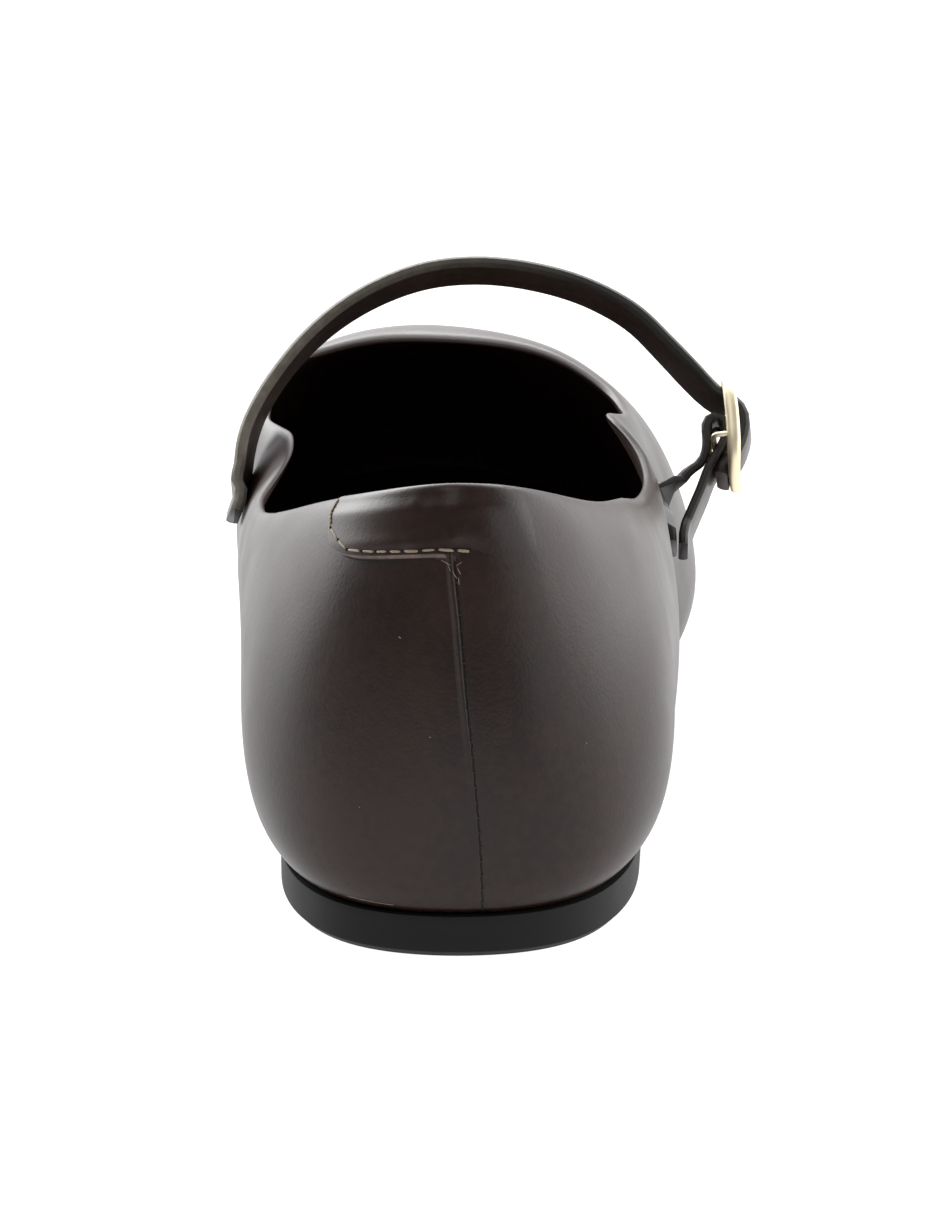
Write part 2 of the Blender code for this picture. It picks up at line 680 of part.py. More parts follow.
clear_scene()
leather = principled("brown smooth leather", (0.035, 0.022, 0.018), 0.38)
rubber = principled("black moulded rubber", (0.012, 0.012, 0.012), 0.6)
lining = principled("dark lining leather", (0.03, 0.014, 0.010), 0.6)
gold = principled("pale gold plated alloy", (0.83, 0.69, 0.45), 0.22, 1.0)

make_outsole(rubber)
make_upper(leather)
make_insole(lining)
strap = make_band(
    "strap",
    strap_path(),
    band_section(STRAP_WIDTH, STRAP_THICKNESS, STRAP_CORNER),
    STRAP_STEP,
    leather,
)
tab = make_band(
    "buckle_tab",
    tab_path(),
    band_section(TAB_WIDTH, TAB_THICKNESS, TAB_CORNER),
    TAB_STEP,
    leather,
)
make_buckle_frame(gold)
make_prong(gold)
bore(strap, "hole_tool", HOLE_LINE, leather)
cut_slot(tab, "tab_slot_tool", *SLOT)
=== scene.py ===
import math

import bmesh
import bpy
import numpy as np
from mathutils import Matrix, Vector, noise
from mathutils.bvhtree import BVHTree
from mathutils.kdtree import KDTree


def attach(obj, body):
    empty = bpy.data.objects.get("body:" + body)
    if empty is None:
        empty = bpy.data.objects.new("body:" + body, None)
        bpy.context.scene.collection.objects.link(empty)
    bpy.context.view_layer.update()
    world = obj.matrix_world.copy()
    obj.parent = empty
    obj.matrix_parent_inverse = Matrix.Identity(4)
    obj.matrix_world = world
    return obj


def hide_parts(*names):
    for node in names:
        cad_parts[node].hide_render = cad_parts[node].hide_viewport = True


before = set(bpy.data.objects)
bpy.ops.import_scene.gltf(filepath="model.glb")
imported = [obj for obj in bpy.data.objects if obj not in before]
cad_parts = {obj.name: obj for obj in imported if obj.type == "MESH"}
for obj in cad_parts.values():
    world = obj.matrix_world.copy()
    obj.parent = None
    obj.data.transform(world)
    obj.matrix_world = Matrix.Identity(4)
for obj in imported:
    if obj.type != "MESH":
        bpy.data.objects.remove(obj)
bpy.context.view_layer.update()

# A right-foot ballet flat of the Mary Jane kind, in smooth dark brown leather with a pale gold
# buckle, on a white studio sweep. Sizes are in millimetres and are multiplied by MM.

MM = 0.001


# ---------------------------------------------------------------------------------------------
# Camera: a long lens from behind the heel, a little above it.
scene = bpy.context.scene
scene.view_settings.view_transform = "Standard"
CAMERA_PLACE = (-0.00245, -0.680, 0.214)
CAMERA_TILT = math.radians(73.86)  # from straight down
bpy.ops.object.camera_add(location=CAMERA_PLACE, rotation=(CAMERA_TILT, 0, 0))
camera = bpy.context.object
camera.name = "camera"
camera.data.lens = 124.4
scene.camera = camera


# ---------------------------------------------------------------------------------------------
# Floor and backdrop: a product table's curved sheet of matt opal acrylic, lit through from below
# and behind, so that the shoe hardly shades it.
def linear(code):
    """An sRGB hex colour as the linear values that a shader takes."""
    parts = [int(code[k : k + 2], 16) / 255 for k in (1, 3, 5)]
    return (*(p / 12.92 if p <= 0.04045 else ((p + 0.055) / 1.055) ** 2.4 for p in parts), 1.0)


def node(material, kind, links=None, **settings):
    """Adds a node with its settings; links gives inputs a value, or another node's output."""
    made = material.node_tree.nodes.new(kind)
    for name, value in settings.items():
        setattr(made, name, value)
    for name, value in (links or {}).items():
        if isinstance(value, bpy.types.NodeSocket):
            material.node_tree.links.new(value, made.inputs[name])
        else:
            made.inputs[name].default_value = value
    return made


SWEEP_HALF_WIDTH = 3.0
SWEEP_HALF_LENGTH = 2.4  # along the sheet
SWEEP_FRONT = -2.6
SWEEP_FLAT = 3.4  # from the front edge to where it starts to curve up
SWEEP_RADIUS = 0.5
SWEEP_BELOW = 0.05 * MM  # keeps the sheet clear of the sole
bpy.ops.mesh.primitive_grid_add(x_subdivisions=8, y_subdivisions=60, size=2)
sweep = bpy.context.object
sweep.name = "studio_sweep"
for vertex in sweep.data.vertices:
    along = SWEEP_HALF_LENGTH * (vertex.co.y + 1)
    turn = min(max(along - SWEEP_FLAT, 0) / SWEEP_RADIUS, math.pi / 2)
    wall = max(along - SWEEP_FLAT - SWEEP_RADIUS * math.pi / 2, 0)
    vertex.co.x *= SWEEP_HALF_WIDTH
    vertex.co.y = SWEEP_FRONT + min(along, SWEEP_FLAT) + SWEEP_RADIUS * math.sin(turn)
    vertex.co.z = SWEEP_RADIUS * (1 - math.cos(turn)) + wall - SWEEP_BELOW
bpy.ops.object.shade_smooth()

# Cast acrylic sheet with a sandblasted face: it glows an even white and mirrors nothing.
# The blasting is much finer than this in truth, too fine to show.
FROSTING = 900.0  # spots a metre
acrylic = bpy.data.materials.new("matt_opal_acrylic")
acrylic.use_nodes = True
shader = acrylic.node_tree.nodes["Principled BSDF"]
place = node(acrylic, "ShaderNodeTexCoord").outputs["Object"]
frosting = node(acrylic, "ShaderNodeTexNoise", {"Vector": place, "Scale": FROSTING, "Detail": 3.0})
shader.inputs["Base Color"].default_value = linear("#6e6e6e")
shader.inputs["Roughness"].default_value = 0.9
shader.inputs["Emission Color"].default_value = linear("#ffffff")
shader.inputs["Emission Strength"].default_value = 1.0
bump = node(acrylic, "ShaderNodeBump", {"Height": frosting.outputs["Fac"], "Distance": 0.02 * MM})
acrylic.node_tree.links.new(bump.outputs["Normal"], shader.inputs["Normal"])
sweep.data.materials.append(acrylic)


# ---------------------------------------------------------------------------------------------
# Lights: softboxes on each side and behind, which put a bright edge on both flanks, one over the
# toe, a small high one in front for the strap's edge and the buckle, and a dim room.
def softbox(name, place, aim, width, height, radiance):
    """A lamp behind a flat white diffuser, in metres, as bright from any distance."""
    direction = Vector(aim) - Vector(place)
    turn = direction.to_track_quat("-Z", "Y").to_euler()
    bpy.ops.object.light_add(type="AREA", location=place, rotation=turn)
    light = bpy.context.object
    light.name = name
    light.data.shape = "RECTANGLE"
    light.data.size = width
    light.data.size_y = height
    light.data.energy = radiance * math.pi * width * height


softbox("overhead_back", (0.0, 0.70, 1.15), (0.0, 0.1, 0.0), 1.9, 1.3, 3.4)
softbox("high_front", (-0.35, -0.80, 1.30), (0.0, -0.05, 0.05), 0.8, 0.6, 1.8)
softbox("left_back", (-0.95, 0.80, 0.45), (0.0, 0.0, 0.05), 1.0, 0.9, 2.3)
softbox("right_back", (1.05, 0.55, 0.50), (0.0, 0.0, 0.05), 1.2, 1.0, 2.2)
softbox("right_side", (1.20, -0.28, 0.30), (0.0, 0.0, 0.05), 1.4, 0.5, 1.7)
softbox("behind_toe", (-0.35, 1.12, 0.66), (0.0, 0.0, 0.05), 2.0, 0.7, 4.4)

ROOM_LIGHT = (0.24, 0.24, 0.25, 1.0)
room = bpy.data.worlds.new("room")
room.use_nodes = True
room.node_tree.nodes["Background"].inputs["Color"].default_value = ROOM_LIGHT
scene.world = room


# ---------------------------------------------------------------------------------------------
# Upper: quarters and vamp of dark brown corrected-grain calf, lasted over a stiff heel counter
# and folded in along the topline. A thin brown lining is glued inside.
def selected(piece):
    """Makes one piece the only selected one, and the active one."""
    bpy.ops.object.select_all(action="DESELECT")
    piece.select_set(True)
    bpy.context.view_layer.objects.active = piece


def merged_copy(source, name):
    """A copy of a CAD solid as one joined mesh, with its triangles paired into quads."""
    piece = bpy.data.objects.new(name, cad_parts[source].data.copy())
    scene.collection.objects.link(piece)
    selected(piece)
    bpy.ops.object.mode_set(mode="EDIT")
    bpy.ops.mesh.select_all(action="SELECT")
    bpy.ops.mesh.remove_doubles(threshold=0.001 * MM)
    bpy.ops.mesh.tris_convert_to_quads(
        face_threshold=math.pi, shape_threshold=math.pi, topology_influence=1.0
    )
    bpy.ops.mesh.normals_make_consistent(inside=False)
    bpy.ops.object.mode_set(mode="OBJECT")
    piece.data.materials.clear()
    return piece


def apply_all(piece):
    """Applies every modifier of a piece, in order."""
    selected(piece)
    for modifier in list(piece.modifiers):
        bpy.ops.object.modifier_apply(modifier=modifier.name)


def smooth_through(piece, levels):
    """Subdivides a piece into a smooth surface that passes through the piece's own vertices. A
    subdivided surface shrinks away from them, so they are moved out by as much, a few times."""
    wanted = [vertex.co.copy() for vertex in piece.data.vertices]
    surface = piece.modifiers.new("surface", "SUBSURF")
    surface.levels = levels
    surface.render_levels = levels
    for _ in range(4):
        graph = bpy.context.evaluated_depsgraph_get()
        reached = piece.evaluated_get(graph).data.vertices
        moves = [goal - reached[k].co for k, goal in enumerate(wanted)]
        for vertex, move in zip(piece.data.vertices, moves):
            vertex.co += move
        piece.data.update()
        bpy.context.view_layer.update()
    apply_all(piece)


FINISH_IOR = 1.39  # a wax finish has about 1.45, and this one is a little duller
CLOUD, MOTTLE = 14 * MM, 1.6 * MM
PORE, GRAIN = 0.55 * MM, 0.9 * MM  # calf's own are a third of this, too fine to show
GRAIN_DEPTH = 0.03 * MM


def calf(name, base, dark, rough):
    """Smooth finished leather: fine pores, faint clouding in the dye, and an uneven polish."""
    made = bpy.data.materials.new(name)
    made.use_nodes = True
    shader = made.node_tree.nodes["Principled BSDF"]
    place = node(made, "ShaderNodeTexCoord").outputs["Object"]
    cloud = node(made, "ShaderNodeTexNoise", {"Vector": place, "Scale": 1 / CLOUD, "Detail": 5.0})
    mottle = node(made, "ShaderNodeTexNoise", {"Vector": place, "Scale": 1 / MOTTLE, "Detail": 4.0})
    blend = node(
        made,
        "ShaderNodeMath",
        {0: cloud.outputs["Fac"], 1: mottle.outputs["Fac"]},
        operation="ADD",
    )
    share = node(
        made,
        "ShaderNodeMapRange",
        {"Value": blend.outputs["Value"], "From Min": 0.75, "From Max": 1.25},
    )
    colour = node(
        made,
        "ShaderNodeMix",
        {"Factor": share.outputs["Result"], "A": dark, "B": base},
        data_type="RGBA",
    )
    polish = node(
        made,
        "ShaderNodeMapRange",
        {
            "Value": cloud.outputs["Fac"],
            "From Min": 0.3,
            "From Max": 0.7,
            "To Min": rough - 0.04,
            "To Max": rough + 0.05,
        },
    )
    pores = node(made, "ShaderNodeTexVoronoi", {"Vector": place, "Scale": 1 / PORE})
    grain = node(made, "ShaderNodeTexNoise", {"Vector": place, "Scale": 1 / GRAIN, "Detail": 6.0})
    height = node(
        made,
        "ShaderNodeMath",
        {0: pores.outputs["Distance"], 1: grain.outputs["Fac"]},
        operation="ADD",
    )
    raised = node(
        made,
        "ShaderNodeBump",
        {"Height": height.outputs["Value"], "Strength": 0.42, "Distance": GRAIN_DEPTH},
    )
    shader.inputs["IOR"].default_value = FINISH_IOR
    links = made.node_tree.links
    links.new(colour.outputs["Result"], shader.inputs["Base Color"])
    links.new(polish.outputs["Result"], shader.inputs["Roughness"])
    links.new(raised.outputs["Normal"], shader.inputs["Normal"])
    return made


# Calf, dyed dark brown through and plated smooth under a wax finish: a deep colour with a soft,
# slightly broken shine and white edges where it turns away.
leather = calf("brown_finished_calf", linear("#2a1812"), linear("#1b0e0a"), 0.35)
# Pigskin, dyed but not finished: duller and a little lighter.
lining = calf("brown_pigskin_lining", linear("#4c3b35"), linear("#3a2b26"), 0.6)

upper = merged_copy("upper", "upper_leather")
smooth_through(upper, 2)
HEEL_END, TOE_END = -95 * MM, 85 * MM  # of the line along the foot's middle
FOOT_X, FOOT_Z = -4 * MM, 22 * MM


def inside_of_shoe(centre, normal):
    """Whether a face looks into the shoe, seen from the line along the foot's middle."""
    along = min(max(centre.y, HEEL_END), TOE_END)
    return (centre - Vector((FOOT_X, along, FOOT_Z))).dot(normal) < 0


# The leather's edge is skived, turned over the topline and stuck down inside, which leaves a
# soft roll that slopes in.
looks_in = [inside_of_shoe(face.center, face.normal) for face in upper.data.polygons]
sides = {}
for face in upper.data.polygons:
    for pair in face.edge_keys:
        sides.setdefault(pair, set()).add(looks_in[face.index])
corner = [
    (upper.data.vertices[a].co + upper.data.vertices[b].co) / 2
    for (a, b), kinds in sides.items()
    if len(kinds) == 2
]
ABOVE_FOOT = 30 * MM  # the topline is higher than this, and the foot of the wall lower
corner = [middle for middle in corner if middle.z > ABOVE_FOOT]
topline = KDTree(len(corner))
for k, middle in enumerate(corner):
    topline.insert(middle, k)
topline.balance()
within = set()
for face in upper.data.polygons:
    if looks_in[face.index]:
        within.update(face.vertices)
FOLD_DROP = 0.4  # how far the fold's inner corner is pressed down
FOLD_INSIDE, FOLD_OUTSIDE = 5.0, 1.6  # how far from that corner the slope reaches
FOLD_LINING = 0.6  # the lining's edge, below that corner
for vertex in upper.data.vertices:
    away = topline.find(vertex.co)[2] / MM
    if vertex.index in within:
        share = max(1 - away / FOLD_INSIDE, 0) ** 2
    else:
        share = max(1 - away / FOLD_OUTSIDE, 0)
        share = share * share * (3 - 2 * share)
    vertex.co.z -= FOLD_DROP * share * MM

# Marks that the last and the wearer's hand leave: soft swells all over, and a ridge down the
# outer side of the heel.
SWELL, SWELL_SIZE = 0.08, 19
RIDGE_TOP, RIDGE_FOOT = Vector((2.5, -110.2, 64.8)), Vector((10.2, -114.9, 36.9))
RIDGE_HEIGHT, RIDGE_WIDTH = 0.26, 3.0
RIDGE_MIDDLE, RIDGE_REACH = 0.55, 0.75  # as shares of the line from top to foot
ridge = RIDGE_FOOT - RIDGE_TOP
upper.data.update()
normals = [vertex.normal.copy() for vertex in upper.data.vertices]
for vertex, normal in zip(upper.data.vertices, normals):
    if vertex.index in within:
        continue
    spot = vertex.co / MM
    swell = SWELL * noise.noise(spot / SWELL_SIZE)
    along = (spot - RIDGE_TOP).dot(ridge) / ridge.length_squared
    away = (spot - RIDGE_TOP - along * ridge).length
    fade = max(0, 1 - abs(along - RIDGE_MIDDLE) / RIDGE_REACH)
    swell += RIDGE_HEIGHT * fade * math.exp(-((away / RIDGE_WIDTH) ** 2))
    vertex.co += normal * swell * MM
upper.data.update()

upper.data.materials.append(leather)
upper.data.materials.append(lining)
for face in upper.data.polygons:
    if looks_in[face.index] and topline.find(face.center)[2] > (FOLD_LINING + FOLD_DROP) * MM:
        face.material_index = 1
bpy.ops.object.shade_smooth()
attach(upper, "root")
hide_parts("upper")


# ---------------------------------------------------------------------------------------------
# Heel tab: the outer quarter runs on round the back of the topline as a rounded tab of the same
# calf, which laps over the inner quarter. It is folded over the topline and sewn down along its
# edge.
outer_leather = bmesh.new()
outer_leather.from_mesh(upper.data)
skin_tree = BVHTree.FromBMesh(outer_leather)
outer_leather.free()
HEEL_X, HEEL_Y = -4.3, -96.0  # the upright line that degrees are counted round
RIM = 0.95  # radius of the roll along the topline
RIM_INSET = 0.45  # how far the roll's centre lies inside its highest line
RIM_FROM, RIM_TO = -70, 110  # degrees
LOOK_FROM, LOOK_STEP, LOOK_STEPS = 8, 0.04, 500  # distances out at which its top is looked for
ABOVE_SHOE = 90
CLEAR_OF_HEEL = 30 * MM


def around_heel(degrees):
    """The level direction out of the heel, turned from straight back towards the inner side."""
    turn = math.radians(degrees)
    return Vector((-math.sin(turn), -math.cos(turn), 0))


def highest_rim(degrees):
    """The top of the folded topline in that direction: how far out it is, and how high."""
    found = []
    for step in range(LOOK_STEPS):
        out = LOOK_FROM + LOOK_STEP * step
        over = Vector((HEEL_X, HEEL_Y, ABOVE_SHOE)) * MM + around_heel(degrees) * out * MM
        hit = skin_tree.ray_cast(over, Vector((0, 0, -1)))[0]
        found.append((hit.z / MM if hit else 0, -out))
    height, out = max(found)
    return -out, height


tops = [highest_rim(degrees) for degrees in range(RIM_FROM, RIM_TO + 1)]
rim_line = []
for k in range(len(tops)):
    near = tops[max(k - 2, 0) : k + 3]
    rim_line.append([sum(column) / len(near) for column in zip(*near)])


def rim_centre(degrees):
    """The middle of the roll along the topline in that direction."""
    at = min(max(degrees - RIM_FROM, 0), len(rim_line) - 1.001)
    k = int(at)
    out, height = (p + (q - p) * (at - k) for p, q in zip(rim_line[k], rim_line[k + 1]))
    centre = Vector((HEEL_X, HEEL_Y, height - RIM)) * MM
    return centre + around_heel(degrees) * (out - RIM_INSET) * MM


def on_heel(degrees, rise, lift):
    """A place on the heel: rise counts from the roll's centre, and goes round the roll above it."""
    centre = rim_centre(degrees)
    out = around_heel(degrees)
    turn = max(rise, 0) / RIM
    way = out * math.cos(turn) + Vector((0, 0, math.sin(turn)))
    target = centre + Vector((0, 0, min(rise, 0) * MM))
    hit = skin_tree.ray_cast(target + way * CLEAR_OF_HEEL, -way)[0]
    if hit is None:
        hit = skin_tree.find_nearest(target + way * MM)[0]
    return hit + way * lift * MM, way


def along_line(points, share):
    """A place part of the way along a line of points of any size."""
    spans = [math.dist(a, b) for a, b in zip(points, points[1:])]
    left = share * sum(spans)
    for a, b, span in zip(points, points[1:], spans):
        if left <= span or b is points[-1]:
            step = left / span
            return [p + (q - p) * step for p, q in zip(a, b)]
        left -= span
    return list(points[-1])


# The tab's outline: degrees round the heel, and height in millimetres from the roll's centre.
TAB_SIDE = [(93.8, 1.6), (91.5, 0.5), (88.8, -0.9), (84, -2.6), (80.6, -4.0), (76.5, -5.2)]
TAB_SIDE += [(72.3, -6.15)]
TAB_FOOT = [(72.3, -6.15), (64.2, -7.4), (57.5, -8.1), (47.9, -8.5), (36.3, -8.65)]
TAB_FOOT += [(25.5, -8.72), (15.8, -8.8), (6, -8.85), (-3, -9.4), (-16, -11.0), (-50, -13.0)]
TAB_TOP = [(93.8, 1.6), (-50, 1.6)]
TAB_END = [(-50, -13.0), (-50, 1.6)]
TAB_RISE = 0.75  # how far its face stands off the heel
TAB_LEATHER = 0.85 * MM
COLUMNS, ROWS = 200, 56
CUT_EDGE = (0.0, 0.04, 0.36, 0.62, 0.82, 0.94, 1.0)  # its edge's height, row by row from outside
# the rows and columns of the cut edge that carry its paler colour and painted highlight
EDGE_HIGHLIGHT_ROWS, EDGE_HIGHLIGHT_COLUMNS = (2, 3, 4, 5), 112
# the rows and columns of the strip coloured with painted shade under the tab's edge
SHADE_ROWS, SHADE_COLUMNS = 2, 104
SEAM_FROM, SEAM_FADE = 7, 12  # degrees: past the seam the tab runs into the outer quarter
TAB_CLEAR = 0.06  # keeps its face clear of the heel
PAST_SEAM_SUNK, END_SUNK = 0.16, 0.12
PASSES_ALONG, PASSES_ACROSS = 60, 5  # of averaging


def eased(share):
    """From 0 to 1 with no slope and no bend at either end."""
    share = min(max(share, 0), 1)
    return share**3 * (share * (share * 6 - 15) + 10)


def bell(value, middle, width):
    """A smooth bump: 1 in the middle, and nearly nothing two widths away."""
    return math.exp(-(((value - middle) / width) ** 2))


def tab_relief(degrees, rise):
    """The tab's own shape: a hollow along it, a fold above the stitches, and the dent where it
    bridges the closed seam, with a pinched crease on each side."""
    hollow = -0.15 * bell(rise, -3.6, 1.6)
    fold = 0.24 * bell(rise, -6.0, 0.9) * bell(degrees, 30, 32)
    relief = (hollow + fold) * eased((degrees + 30) / 32)
    between_edges = eased((rise + 8.6) / 1.6) * eased((0.9 - rise) / 2.2)
    relief -= 0.34 * bell(degrees, 10.5, 5.5) * between_edges
    inner_crease = bell(rise, -0.4, 1.2) + bell(rise, -6.0, 1.3)
    relief += 0.20 * bell(degrees, 20.5, 3.4) * between_edges * inner_crease
    outer_crease = bell(rise, 0.2, 1.2) + 0.8 * bell(rise, -5.2, 1.4)
    relief += 0.18 * bell(degrees, 0.5, 3.6) * between_edges * outer_crease
    upper_wrinkle = bell(rise, -4.7, 0.4) * bell(degrees, 8, 6)
    lower_wrinkle = bell(rise, -5.8, 0.35) * bell(degrees, 4, 6)
    relief += 0.05 * (upper_wrinkle + lower_wrinkle)
    return 0.7 * relief


def tab_lift(degrees, rise):
    """How far the tab's face stands off the heel there, less where it rolls over the topline."""
    roll = 1 - 0.65 * eased((rise + 2.2) / 2.6)
    return TAB_RISE * eased((degrees + 50) / 62) * roll + tab_relief(degrees, rise)


bpy.ops.mesh.primitive_grid_add(x_subdivisions=COLUMNS, y_subdivisions=ROWS, size=2)
tab = bpy.context.object
tab.name = "heel_tab"
edge_highlit, under_edge_shaded = set(), set()
for face in tab.data.polygons:
    column = int((face.center.x + 1) / 2 * COLUMNS)
    row = min(int((face.center.y + 1) / 2 * ROWS), column)
    if column < EDGE_HIGHLIGHT_COLUMNS and row in EDGE_HIGHLIGHT_ROWS:
        edge_highlit.add(face.index)
    elif column < SHADE_COLUMNS and row < SHADE_ROWS:
        under_edge_shaded.add(face.index)
laid = np.zeros((ROWS + 1, COLUMNS + 1, 3))
raised = np.zeros_like(laid)
at_vertex = {}
for vertex in tab.data.vertices:
    u = (vertex.co.x + 1) / 2
    v = (vertex.co.y + 1) / 2
    foot, top = along_line(TAB_FOOT, u), along_line(TAB_TOP, u)
    side, end = along_line(TAB_SIDE[::-1], v), along_line(TAB_END, v)
    here = []
    for k in (0, 1):
        ruled = (1 - v) * foot[k] + v * top[k] + (1 - u) * side[k] + u * end[k]
        corners = (1 - u) * (1 - v) * TAB_FOOT[0][k] + u * (1 - v) * TAB_END[0][k]
        corners += (1 - u) * v * TAB_TOP[0][k] + u * v * TAB_END[1][k]
        here.append(ruled - corners)
    past_seam = eased((SEAM_FROM - here[0]) / SEAM_FADE)
    lift = tab_lift(*here) * (1 - past_seam * (1 - eased(v / 0.8)))
    at = (round(v * ROWS), round(u * COLUMNS))
    cut = CUT_EDGE[min(*at, len(CUT_EDGE) - 1)]
    lift = lift * (cut + (1 - cut) * past_seam) + TAB_CLEAR
    lift -= PAST_SEAM_SUNK * past_seam * (1 - eased(v / 0.5))
    lift -= END_SUNK * eased((u - 0.85) / 0.15)
    spot, way = on_heel(*here, 0)
    at_vertex[vertex.index] = at
    laid[at] = spot
    raised[at] = way * lift * MM
# The leather lies smoothly on the heel, so small steps in what it lies on are averaged out.
for _ in range(PASSES_ALONG):
    laid[:, 1:-1] = (laid[:, :-2] + 2 * laid[:, 1:-1] + laid[:, 2:]) / 4
for _ in range(PASSES_ACROSS):
    laid[1:-1] = (laid[:-2] + 2 * laid[1:-1] + laid[2:]) / 4
laid += raised
for vertex in tab.data.vertices:
    vertex.co = laid[at_vertex[vertex.index]]
tab.data.update()
solid = tab.modifiers.new("thickness", "SOLIDIFY")
solid.thickness = TAB_LEATHER
solid.offset = -1
apply_all(tab)
bpy.ops.object.shade_smooth()
# The cut edge, pared thin with a knife and rubbed down: paler than the finish and a little shiny,
# and painted paler still as a highlight where its rounded face catches the light.
edge_and_highlight = calf("pared_edge_with_painted_highlight", linear("#6b5b55"), linear("#453933"), 0.3)
# Painted shade: a nearly black, dull strip along the foot of that edge, where shade falls in the
# corner under it.
tab_edge_shade = calf("painted_shade_under_tab_edge", linear("#0d0907"), linear("#080504"), 0.8)
for finish in (leather, edge_and_highlight, tab_edge_shade):
    tab.data.materials.append(finish)
for face in tab.data.polygons:
    # the rounded cut edge takes the paler colour with its painted highlight
    if face.index in edge_highlit:
        face.material_index = 1
    # faces in the corner under the edge take the painted shade
    elif face.index in under_edge_shaded:
        face.material_index = 2
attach(tab, "root")


# ---------------------------------------------------------------------------------------------
# Tab stitching: beige waxed thread just inside the tab's edge, 2 to 3.6 mm from hole to hole. One
# long doubled strand comes down from the topline, and some of the last stitches are sewn twice.
#
# Linen thread, twisted from plies and drawn through beeswax: beige, with a faint slanting twist.
PLY = 0.5 * MM
THREAD_RELIEF = 0.05 * MM
thread = bpy.data.materials.new("beige_waxed_thread")
thread.use_nodes = True
shader = thread.node_tree.nodes["Principled BSDF"]
place = node(thread, "ShaderNodeTexCoord").outputs["Object"]
ply = node(
    thread,
    "ShaderNodeTexWave",
    {"Vector": place, "Scale": 1 / PLY, "Distortion": 1.0},
    bands_direction="DIAGONAL",
)
tone = node(
    thread,
    "ShaderNodeMix",
    {"Factor": ply.outputs["Fac"], "A": linear("#75634d"), "B": linear("#ab9a80")},
    data_type="RGBA",
)
bump = node(
    thread,
    "ShaderNodeBump",
    {"Height": ply.outputs["Fac"], "Strength": 0.6, "Distance": THREAD_RELIEF},
)
thread.node_tree.links.new(tone.outputs["Result"], shader.inputs["Base Color"])
thread.node_tree.links.new(bump.outputs["Normal"], shader.inputs["Normal"])
shader.inputs["Roughness"].default_value = 0.6

# Painted shade: the raw, cut leather inside a needle hole or a closed joint lies so deep in shade
# that it is coloured nearly black.
hole = bpy.data.materials.new("raw_leather_in_shade")
hole.use_nodes = True
shader = hole.node_tree.nodes["Principled BSDF"]
place = node(hole, "ShaderNodeTexCoord").outputs["Object"]
dust = node(hole, "ShaderNodeTexNoise", {"Vector": place, "Scale": 1 / (0.3 * MM)})
tone = node(
    hole,
    "ShaderNodeMix",
    {"Factor": dust.outputs["Fac"], "A": linear("#070504"), "B": linear("#120d0b")},
    data_type="RGBA",
)
bump = node(hole, "ShaderNodeBump", {"Height": dust.outputs["Fac"], "Distance": 0.05 * MM})
hole.node_tree.links.new(tone.outputs["Result"], shader.inputs["Base Color"])
hole.node_tree.links.new(bump.outputs["Normal"], shader.inputs["Normal"])
shader.inputs["Roughness"].default_value = 0.9


def sewn_line(name, ends, thick, finish):
    """One blunt length of thread for each pair of ends, copied from one stitch and joined."""
    bpy.ops.mesh.primitive_uv_sphere_add(segments=10, ring_count=6, radius=1)
    first = bpy.context.object
    # The ball becomes a rod with blunt ends.
    for vertex in first.data.vertices:
        blunt = math.copysign(abs(vertex.co.z) ** 0.6, vertex.co.z)
        girth = math.sqrt(max(1 - blunt**4, 0)) / max(math.hypot(vertex.co.x, vertex.co.y), 1e-6)
        vertex.co = (vertex.co.x * girth, vertex.co.y * girth, blunt)
    bpy.ops.object.shade_smooth()
    made = []
    for start, stop, normal in ends:
        along = stop - start
        side = normal.cross(along).normalized()
        up = along.cross(side).normalized()
        size = along.length / 2
        turn = Matrix((side * thick / 2, up * thick / 2, along.normalized() * size)).transposed()
        stitch = first.copy()
        stitch.data = first.data.copy()
        scene.collection.objects.link(stitch)
        stitch.data.transform(Matrix.Translation((start + stop) / 2) @ turn.to_4x4())
        made.append(stitch)
    bpy.data.objects.remove(first, do_unlink=True)
    bpy.ops.object.select_all(action="DESELECT")
    for stitch in made:
        stitch.select_set(True)
    bpy.context.view_layer.objects.active = made[0]
    if len(made) > 1:
        bpy.ops.object.join()
    joined = bpy.context.object
    joined.name = name
    joined.data.materials.append(finish)
    bpy.ops.object.mode_set(mode="EDIT")
    bpy.ops.mesh.select_all(action="SELECT")
    bpy.ops.mesh.normals_make_consistent(inside=False)
    bpy.ops.object.mode_set(mode="OBJECT")
    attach(joined, "root")


# Degrees round the heel, and height, of the needle holes.
TAB_HOLES = [(89.4, 0.9), (77.0, -3.6), (66.1, -5.4), (56.7, -6.8), (46.4, -7.05), (37.6, -7.2)]
TAB_HOLES += [(30.5, -7.25), (23.3, -7.35), (15.3, -7.4), (8.3, -7.4), (0.3, -7.55), (-5.8, -7.7)]
STRAND_STEPS = 6  # straight pieces that the long strand bends in
SEWN_TWICE = (7, 9, 10)
STITCH_FROM, STITCH_SHARE = 0.1, 0.8  # the part of the way between two holes that it shows
STITCH_LIFT, HOLE_LIFT = 0.05, -0.02
STRAND_APART, TWICE_APART = 0.16 * MM, 0.08 * MM
TAB_THREAD = 0.35 * MM
NEEDLE_HOLE, HALF_HOLE = 0.42 * MM, 0.26 * MM
stitches, holes = [], []


def on_tab(degrees, rise, lift):
    """A place on the tab's face, and the way out of it."""
    return on_heel(degrees, rise, tab_lift(degrees, rise) + lift)


